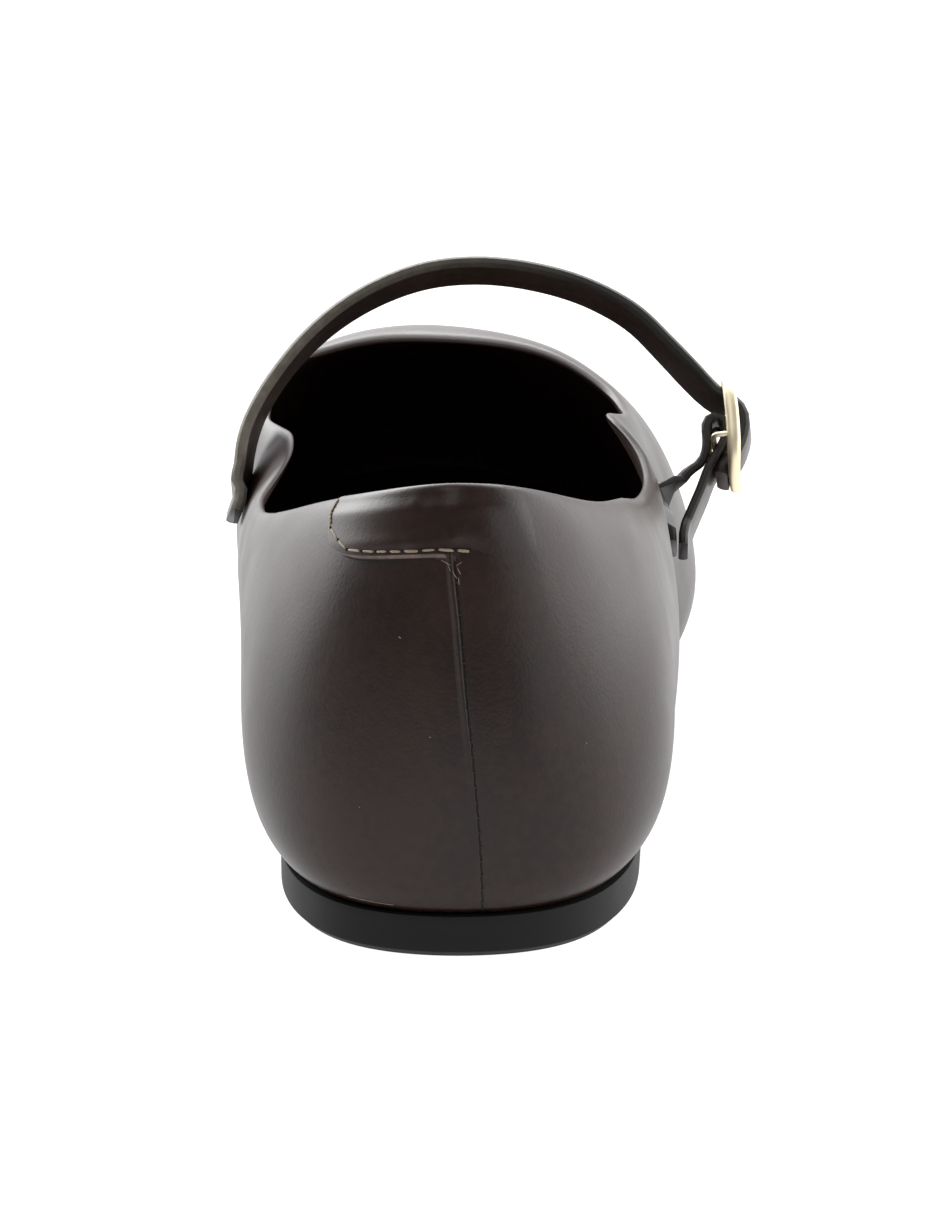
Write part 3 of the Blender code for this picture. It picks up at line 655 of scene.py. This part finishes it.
for number, (a, b) in enumerate(zip(TAB_HOLES, TAB_HOLES[1:])):
    steps = STRAND_STEPS if number == 0 else 1
    shares = [STITCH_FROM + STITCH_SHARE * k / steps for k in range(steps + 1)]
    ends = [on_tab(*(p + (q - p) * share for p, q in zip(a, b)), STITCH_LIFT) for share in shares]
    for (start, normal), (stop, _) in zip(ends, ends[1:]):
        across = normal.cross(stop - start).normalized()
        if number == 0:
            apart = across * STRAND_APART
            stitches.append((start + apart, stop + apart, normal))
            stitches.append((start - apart, stop - apart, normal))
        elif number in SEWN_TWICE:
            stitches.append((start + across * TWICE_APART, stop, normal))
            stitches.append((start, stop - across * TWICE_APART, normal))
        else:
            stitches.append((start, stop, normal))
    gap, gap_normal = on_tab(*b, HOLE_LIFT)
    width = gap_normal.cross(stop - start).normalized() * HALF_HOLE
    holes.append((gap - width, gap + width, gap_normal))
sewn_line("heel_tab_stitches", stitches, TAB_THREAD, thread)
# The needle holes are short, nearly black pieces of painted shade set into the tab's face.
sewn_line("heel_tab_needle_holes", holes, NEEDLE_HOLE, hole)


# ---------------------------------------------------------------------------------------------
# Back seam: the two quarters are closed down the middle of the heel. The inner quarter's edge
# stands up beside the seam near the top and dies away lower down.
SEAM = [(-4.75, 58.6), (-4.45, 55.0), (-3.8, 49.1), (-2.9, 38.3), (-2.2, 31.7), (-1.65, 25.5)]
SEAM += [(-1.2, 20.2), (-0.85, 14.0), (-0.65, 7.3)]  # across, and height
BEHIND_SHOE = -0.2


def on_back(x, z, lift):
    """A place on the back of the heel, x and z in millimetres, lifted off the leather."""
    behind = Vector((x * MM, BEHIND_SHOE, z * MM))
    hit, normal, _, _ = skin_tree.ray_cast(behind, Vector((0, 1, 0)))
    return hit + normal * lift * MM, normal


# The strip's columns, in millimetres from the seam's line. The dark joint lies between the two
# closest to it.
JOINT = 0.14
ACROSS = [-2.6 + 0.2 * k for k in range(13)] + [-JOINT, JOINT] + [0.3 + 0.2 * k for k in range(10)]
JOINT_COLUMN = 13
SEAM_ROWS = 130
SEAM_LEATHER = 0.6 * MM
JOINT_HEIGHT = 0.03
RAISED, LOWERED = 0.52, 0.42  # the inner quarter's edge at the top, and how much of it dies away
OTHER_EDGE = 0.07
SUNK = -0.06  # below the heel's surface, so that nothing shows
WANDER, WANDER_LENGTH = 0.06, 2.1  # the joint swings from side to side between its stitches
bpy.ops.mesh.primitive_grid_add(
    x_subdivisions=len(ACROSS) - 1, y_subdivisions=SEAM_ROWS, size=2
)
seam = bpy.context.object
seam.name = "back_seam"
seam.data.materials.append(leather)
seam.data.materials.append(hole)
# The joint between the two edges takes the nearly black painted shade.
for face in seam.data.polygons:
    column = int((face.center.x + 1) / 2 * (len(ACROSS) - 1))
    if column == JOINT_COLUMN:
        face.material_index = 1
for vertex in seam.data.vertices:
    aside = ACROSS[round((vertex.co.x + 1) / 2 * (len(ACROSS) - 1))]
    share = (1 - vertex.co.y) / 2
    x, z = along_line(SEAM, share)
    low = eased((share - 0.2) / 0.45)  # 0 over the top fifth, 1 over the lower third
    if abs(aside) > JOINT:
        height = (RAISED - LOWERED * low) * bell(aside, -0.52, 0.5)
        height += OTHER_EDGE * bell(aside, 0.3, 0.4) + 0.05 - 0.12 * eased(abs(aside) / 2.2)
        height += (SUNK - height) * eased((9.5 - z) / 2)
        wander = 0
    else:
        height = JOINT_HEIGHT
        wander = WANDER * math.sin(2 * math.pi * z / WANDER_LENGTH)
    vertex.co = on_back(x + aside + wander * low, z, height)[0]
seam.data.update()
solid = seam.modifiers.new("thickness", "SOLIDIFY")
solid.thickness = SEAM_LEATHER
solid.offset = -1
apply_all(seam)
bpy.ops.object.shade_smooth()
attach(seam, "root")


def bits_on_back(spots, lift):
    """Ends for sewn_line, from where each small bit starts and stops: x, z, x, z."""
    ends = []
    for x, z, to_x, to_z in spots:
        start, normal = on_back(x, z, lift)
        ends.append((start, on_back(to_x, to_z, lift)[0], normal))
    return ends


# The closing thread shows as small ticks between the two edges. It is dyed brown and takes the
# finish with the leather, so it is only a little lighter.
dark_thread = calf("brown_closing_thread", linear("#41362f"), linear("#2e2621"), 0.6)
TICKS = 22
TICK_HALF_WIDTH, TICK_HALF_HEIGHT = 0.22, 0.12
ticks = []
for number in range(TICKS):
    x, z = along_line(SEAM, 0.08 + 0.9 * number / (TICKS - 1))
    left, right = x - TICK_HALF_WIDTH, x + TICK_HALF_WIDTH
    ticks.append((left, z + TICK_HALF_HEIGHT, right, z - TICK_HALF_HEIGHT))
ticks = bits_on_back(ticks, 0.10)
sewn_line("back_seam_stitches", ticks, 0.16 * MM, dark_thread)

# Its cut ends have come untwisted at the seam's top, where bare fibre shows pale and dull.
frayed = calf("untwisted_linen_fibre", linear("#8d7c70"), linear("#5f534b"), 0.7)
FRAYED = [(-6.4, 57.5, -5.0, 56.8), (-4.4, 56.7, -3.6, 57.3), (-4.9, 56.1, -4.3, 55.0)]
FRAYED += [(-4.3, 56.6, -3.8, 55.6), (-5.6, 57.2, -5.1, 56.0), (-4.1, 55.2, -4.0, 54.2)]
fibres = bits_on_back(FRAYED, 0.65)
sewn_line("back_seam_frayed_ends", fibres, 0.12 * MM, frayed)


# ---------------------------------------------------------------------------------------------
# Insole: the sock that the foot stands on. It is a thin board, padded and covered with the same
# brown pigskin as the lining, and is glued down inside the shoe.
def crease_corners(piece, sharpness, crease):
    """Keeps a piece's sharp edges when its surface is smoothed, as much as crease says."""
    selected(piece)
    bpy.ops.object.mode_set(mode="EDIT")
    bpy.ops.mesh.select_mode(type="EDGE")
    bpy.ops.mesh.select_all(action="DESELECT")
    bpy.ops.mesh.edges_select_sharp(sharpness=math.radians(sharpness))
    bpy.ops.transform.edge_crease(value=crease)
    bpy.ops.object.mode_set(mode="OBJECT")


insole = merged_copy("insole", "insole_sock")
crease_corners(insole, 40, 0.55)
smooth_through(insole, 2)
bpy.ops.object.shade_smooth()
insole.data.materials.append(lining)
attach(insole, "root")
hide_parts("insole")


# ---------------------------------------------------------------------------------------------
# Outsole: one moulding of matt black rubber with a low heel. It is cemented on and pressed, and
# its edge stands out about a millimetre past the upper.
#
# Styrene-butadiene rubber, moulded against a fine-blasted steel mould: black, dull and even, with
# faint clouds where wax has come to its surface. The blasted grain is drawn coarser than its own
# 0.1 mm, which would be too fine to show.
BLOOM, SPECK = 6 * MM, 0.35 * MM
RUBBER_RELIEF = 0.05 * MM
RUBBER_IOR = 1.3  # rubber has 1.5, and its pitted skin shines less
rubber = bpy.data.materials.new("black_moulded_rubber")
rubber.use_nodes = True
shader = rubber.node_tree.nodes["Principled BSDF"]
place = node(rubber, "ShaderNodeTexCoord").outputs["Object"]
bloom = node(rubber, "ShaderNodeTexNoise", {"Vector": place, "Scale": 1 / BLOOM, "Detail": 6.0})
speck = node(rubber, "ShaderNodeTexNoise", {"Vector": place, "Scale": 1 / SPECK, "Detail": 4.0})
tone = node(
    rubber,
    "ShaderNodeMix",
    {"Factor": bloom.outputs["Fac"], "A": linear("#0e0e0e"), "B": linear("#171716")},
    data_type="RGBA",
)
polish = node(
    rubber,
    "ShaderNodeMapRange",
    {"Value": bloom.outputs["Fac"], "To Min": 0.5, "To Max": 0.66},
)
bump = node(
    rubber,
    "ShaderNodeBump",
    {"Height": speck.outputs["Fac"], "Strength": 0.6, "Distance": RUBBER_RELIEF},
)
shader.inputs["IOR"].default_value = RUBBER_IOR
rubber.node_tree.links.new(tone.outputs["Result"], shader.inputs["Base Color"])
rubber.node_tree.links.new(polish.outputs["Result"], shader.inputs["Roughness"])
rubber.node_tree.links.new(bump.outputs["Normal"], shader.inputs["Normal"])

sole = merged_copy("outsole", "rubber_outsole")
crease_corners(sole, 30, 1.0)
smooth_through(sole, 2)
# The outer edge is tucked in a little at the foot's outer joint.
TUCK, TUCK_FROM, TUCK_WIDTH = 1.4, 25, 8  # how far, from where across, and how soon
TUCK_Y, TUCK_LENGTH = 15, 26
for vertex in sole.data.vertices:
    vertex.co.z = max(vertex.co.z, 0)
    outer = eased((vertex.co.x / MM - TUCK_FROM) / TUCK_WIDTH)
    vertex.co.x -= TUCK * bell(vertex.co.y / MM, TUCK_Y, TUCK_LENGTH) * outer * MM


def round_edges(piece, width, segments, corner_angle):
    """Rounds the edges that turn more than an angle, and applies it."""
    rounding = piece.modifiers.new("rounding", "BEVEL")
    rounding.width = width * MM
    rounding.segments = segments
    rounding.limit_method = "ANGLE"
    rounding.angle_limit = math.radians(corner_angle)
    apply_all(piece)


round_edges(sole, 0.4, 3, 40)
bpy.ops.object.shade_smooth_by_angle(angle=math.radians(50))
sole.data.materials.append(rubber)
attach(sole, "root")
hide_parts("outsole")


# ---------------------------------------------------------------------------------------------
# Strap: two layers of the upper's leather glued back to back. It is sewn to the inner side of the
# topline and goes through the buckle on the outer side.
#
# Its cut edges are dyed with a brush and rubbed: grey-brown near the root, darkening across the
# shoe to almost black towards the buckle.
EDGE_DARKENS_FROM, EDGE_DARKENS_TO = -34 * MM, 16 * MM  # across the shoe
edge = calf("dyed_leather_edge", linear("#736c61"), linear("#5b554b"), 0.45)
edge_shader = edge.node_tree.nodes["Principled BSDF"]
root_edge_tone = edge_shader.inputs["Base Color"].links[0].from_socket
place = node(edge, "ShaderNodeTexCoord").outputs["Object"]
sideways = node(edge, "ShaderNodeSeparateXYZ", {"Vector": place})
towards_buckle = node(
    edge,
    "ShaderNodeMapRange",
    {"Value": sideways.outputs["X"], "From Min": EDGE_DARKENS_FROM, "From Max": EDGE_DARKENS_TO},
)
blend = node(
    edge,
    "ShaderNodeMix",
    {"Factor": towards_buckle.outputs["Result"], "A": root_edge_tone, "B": linear("#26231f")},
    data_type="RGBA",
)
edge.node_tree.links.new(blend.outputs["Result"], edge_shader.inputs["Base Color"])
# The inner layer is dyed but has no wax finish, so it is a duller, lighter brown.
backing = calf("unwaxed_calf_backing", linear("#3c2e27"), linear("#2a201b"), 0.55)
# Black edge paint, dabbed on the cut ends and dried matt: it hides the grain and mirrors very
# little. The same near black stands for painted shade where the ends meet the upper.
PAINT_IOR = 1.2
painted = calf("black_edge_paint_and_painted_shade", linear("#0c0b0a"), linear("#060605"), 0.5)
painted.node_tree.nodes["Principled BSDF"].inputs["IOR"].default_value = PAINT_IOR


def strip(source, name):
    """A strip of leather from its CAD solid, with its corners rounded."""
    piece = merged_copy(source, name)
    round_edges(piece, 0.22, 2, 28)
    bpy.ops.object.shade_smooth_by_angle(angle=math.radians(50))
    return piece


strap = strip("strap", "instep_strap")
for finish in (leather, edge, backing, painted):
    strap.data.materials.append(finish)
STRAP_LEAN = math.radians(34)
ACROSS_STRAP = Vector((0, math.cos(STRAP_LEAN), -math.sin(STRAP_LEAN)))
ROOT_X = -30 * MM  # the strap's sewn root is on the inner side of this
PAINTED_ROOT = 2.4 * MM
root_top = min(v.co.z for v in strap.data.vertices if v.co.x < ROOT_X) + PAINTED_ROOT
ARCH_MIDDLE = Vector((0, 0, 35 * MM))
for face in strap.data.polygons:
    if abs(face.normal.dot(ACROSS_STRAP)) > 0.5:
        face.material_index = 1
    elif (face.center - ARCH_MIDDLE).dot(face.normal) < 0:
        face.material_index = 2
    # The root's last few millimetres are near black: edge paint on the cut end, and painted shade
    # where it meets the upper.
    if face.center.x < ROOT_X and face.center.z < root_top:
        face.material_index = 3
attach(strap, "root")
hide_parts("strap")


# ---------------------------------------------------------------------------------------------
# Buckle tab: a strip of the same leather, folded round the buckle's bar and sewn to the outer side
# with both ends. The first leg's end is skived thin and pressed into the upper.
buckle_tab = strip("buckle_tab", "buckle_tab_leather")
PRESSED_IN = 2.2
PRESSED_NEAR = 2.6 * MM  # only what is this near to the upper
PRESSED_TOP, PRESSED_FOOT = 43, 35  # heights
PAINTED_FOOT = 2.6 * MM
foot_top = min(v.co.z for v in buckle_tab.data.vertices) + PAINTED_FOOT
for vertex in buckle_tab.data.vertices:
    _, out, _, away = skin_tree.find_nearest(vertex.co)
    if away < PRESSED_NEAR and vertex.co.z > foot_top:
        height = vertex.co.z / MM
        fade = eased((PRESSED_TOP - height) / 2.4) * eased((height - PRESSED_FOOT) / 2)
        vertex.co -= out * PRESSED_IN * fade * MM
for finish in (leather, edge, painted):
    buckle_tab.data.materials.append(finish)
for face in buckle_tab.data.polygons:
    if abs(face.normal.dot(ACROSS_STRAP)) > 0.5:
        face.material_index = 1
    # The feet of both legs are near black the same way: edge paint, and painted shade where they
    # meet the upper.
    if face.center.z < foot_top:
        face.material_index = 2
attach(buckle_tab, "root")
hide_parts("buckle_tab")


# ---------------------------------------------------------------------------------------------
# Buckle: a cast zinc-alloy ring with a bent wire bar behind it, and a wire prong on the bar that
# goes through the strap. All of it is plated pale gold.
#
# The plating is thin, over metal that was tumbled smooth: a soft, cloudy shine, not a mirror.
HANDLED = 2.5 * MM  # size of the patches that handling has dulled
PLATE_RELIEF = 0.05 * MM
gold = bpy.data.materials.new("pale_gold_plate")
gold.use_nodes = True
shader = gold.node_tree.nodes["Principled BSDF"]
place = node(gold, "ShaderNodeTexCoord").outputs["Object"]
wear = node(gold, "ShaderNodeTexNoise", {"Vector": place, "Scale": 1 / HANDLED, "Detail": 6.0})
tone = node(
    gold,
    "ShaderNodeMix",
    {"Factor": wear.outputs["Fac"], "A": linear("#f2e2ba"), "B": linear("#fff6dc")},
    data_type="RGBA",
)
polish = node(
    gold,
    "ShaderNodeMapRange",
    {"Value": wear.outputs["Fac"], "To Min": 0.40, "To Max": 0.52},
)
bump = node(
    gold,
    "ShaderNodeBump",
    {"Height": wear.outputs["Fac"], "Strength": 0.15, "Distance": PLATE_RELIEF},
)
gold.node_tree.links.new(tone.outputs["Result"], shader.inputs["Base Color"])
gold.node_tree.links.new(polish.outputs["Result"], shader.inputs["Roughness"])
gold.node_tree.links.new(bump.outputs["Normal"], shader.inputs["Normal"])
shader.inputs["Metallic"].default_value = 1.0

BUCKLE = Vector((41.3, -1.9, 47.7)) * MM  # the middle of its opening
LENGTHWISE = Vector((-0.06, math.sin(STRAP_LEAN), math.cos(STRAP_LEAN))).normalized()
SIDEWAYS = Vector((0.1, math.cos(STRAP_LEAN), -math.sin(STRAP_LEAN)))
SIDEWAYS = (SIDEWAYS - SIDEWAYS.dot(LENGTHWISE) * LENGTHWISE).normalized()
OUTWARDS = SIDEWAYS.cross(LENGTHWISE)


def at_buckle(out, up, across):
    """A place by the buckle: out of the shoe, up the strap, and across it."""
    return BUCKLE + (OUTWARDS * out + LENGTHWISE * up + SIDEWAYS * across) * MM


def squared(value, power):
    """A sine or cosine made squarer, the more so the lower the power."""
    return math.copysign(abs(value) ** power, value)


OPENING_UP, OPENING_ACROSS = 7.1, 6.6  # half the opening's sizes
RIM_WIDTH, HALF_THICK = 2.1, 0.95
RING_SQUARE, SECTION_SQUARE = 2 / 3, 0.75
SIDES_SWELL = 0.35
DOMED = 0.005  # how fast its ends curve in
bpy.ops.mesh.primitive_torus_add(
    major_segments=96, minor_segments=16, major_radius=1, minor_radius=0.25
)
ring = bpy.context.object
ring.name = "buckle_ring"
for vertex in ring.data.vertices:
    turn = math.atan2(vertex.co.y, vertex.co.x)
    lean = math.atan2(vertex.co.z, math.hypot(vertex.co.x, vertex.co.y) - 1)
    rim = RIM_WIDTH * (0.5 + 0.5 * squared(math.cos(lean), SECTION_SQUARE))
    up = squared(math.sin(turn), RING_SQUARE) * (OPENING_UP + rim)
    across = squared(math.cos(turn), RING_SQUARE) * (OPENING_ACROSS + rim)
    out = HALF_THICK * squared(math.sin(lean), SECTION_SQUARE)
    out += max(out, 0) / HALF_THICK * SIDES_SWELL * math.cos(turn) ** 2
    vertex.co = at_buckle(out - DOMED * up**2, up, across)
ring.data.update()
bpy.ops.object.mode_set(mode="EDIT")
bpy.ops.mesh.select_all(action="SELECT")
bpy.ops.mesh.normals_make_consistent(inside=False)
bpy.ops.object.mode_set(mode="OBJECT")
bpy.ops.object.shade_smooth()


def rod(name, points, radius):
    """A round wire along a smooth curve, as a closed mesh."""
    bpy.ops.curve.primitive_nurbs_path_add()
    path = bpy.context.object
    path.name = name
    spline = path.data.splines[0]
    spline.points.add(len(points) - len(spline.points))
    for point, spot in zip(spline.points, points):
        point.co = (*spot, 1.0)
    spline.order_u = 4
    spline.use_endpoint_u = True
    spline.resolution_u = 6
    path.data.bevel_depth = radius * MM
    path.data.bevel_resolution = 4
    path.data.use_fill_caps = True
    bpy.ops.object.convert(target="MESH")
    piece = bpy.context.object
    bpy.ops.object.shade_smooth_by_angle(angle=math.radians(60))
    return piece


BAR_UP, BAR_RADIUS = -2.5, 0.45
BAR = [(-0.3, 7.65), (-1.4, 7.65), (-2.9, 7.6), (-3.2, 6.6), (-3.2, 5.2), (-3.2, 2.0)]
BAR += [(out, -across) for out, across in reversed(BAR)]  # out and across
bar = rod("buckle_bar", [at_buckle(out, BAR_UP, across) for out, across in BAR], BAR_RADIUS)
selected(ring)
bar.select_set(True)
bpy.ops.object.join()
ring.data.materials.clear()
ring.data.materials.append(gold)
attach(ring, "root")
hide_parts("buckle_frame")

BAR_OUT = -3.2
PRONG_RADIUS, LOOP_RADIUS = 0.55, 1.15
loop = []
for degrees in range(80, 350, 30):
    turn = math.radians(degrees)
    loop.append((BAR_OUT + LOOP_RADIUS * math.cos(turn), BAR_UP + LOOP_RADIUS * math.sin(turn)))
ARM = [(-1.3, 0.2), (-0.6, 3.4), (0.0, 6.0), (0.4, 7.8), (0.55, 9.0)]  # out and up
prong_line = [at_buckle(out, up, 0.0) for out, up in loop + ARM]
prong = rod("buckle_prong_wire", prong_line, PRONG_RADIUS)
prong.data.materials.clear()
prong.data.materials.append(gold)
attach(prong, "root")
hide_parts("buckle_prong")


# ---------------------------------------------------------------------------------------------
# Wear: a few pale specks of dust on the heel, and a pale grey-white smear along the joint where the
# sole meets the upper.
#
# Chalky grey-white, crumbly and dull: the smear along the sole's joint, and the specks of dust,
# which are as pale and as dull.
CRUST = 0.5 * MM
CRUST_RELIEF = 0.05 * MM
pale_smear_and_dust = bpy.data.materials.new("pale_smear_and_dust_crust")
pale_smear_and_dust.use_nodes = True
shader = pale_smear_and_dust.node_tree.nodes["Principled BSDF"]
place = node(pale_smear_and_dust, "ShaderNodeTexCoord").outputs["Object"]
crust = node(pale_smear_and_dust, "ShaderNodeTexNoise", {"Vector": place, "Scale": 1 / CRUST, "Detail": 4.0})
tone = node(
    pale_smear_and_dust,
    "ShaderNodeMix",
    {"Factor": crust.outputs["Fac"], "A": linear("#6f6a62"), "B": linear("#a39d92")},
    data_type="RGBA",
)
bump = node(
    pale_smear_and_dust,
    "ShaderNodeBump",
    {"Height": crust.outputs["Fac"], "Distance": CRUST_RELIEF},
)
pale_smear_and_dust.node_tree.links.new(tone.outputs["Result"], shader.inputs["Base Color"])
pale_smear_and_dust.node_tree.links.new(bump.outputs["Normal"], shader.inputs["Normal"])
shader.inputs["Roughness"].default_value = 0.85

SPECKS = [(-12.1, 46.4, -12.4, 46.6), (-8.0, 33.0, -8.1, 33.15)]
SPECKS += [(14.0, 30.0, 14.1, 30.1), (-18.0, 22.0, -18.1, 22.1)]
specks = bits_on_back(SPECKS, 0.03)
sewn_line("dust_specks", specks, 0.18 * MM, pale_smear_and_dust)

SMEAR_FROM, SMEAR_STEP, SMEAR_LENGTH, SMEAR_DROP = -20.0, 1.3, 1.5, 0.05
smear = []
for number in range(5):
    x, z = SMEAR_FROM + SMEAR_STEP * number, 7.6 - SMEAR_DROP * number
    smear.append((x, z, x + SMEAR_LENGTH, z - SMEAR_DROP))
smear = bits_on_back(smear, 0.0)
sewn_line("pale_smear_at_sole_joint", smear, 0.10 * MM, pale_smear_and_dust)
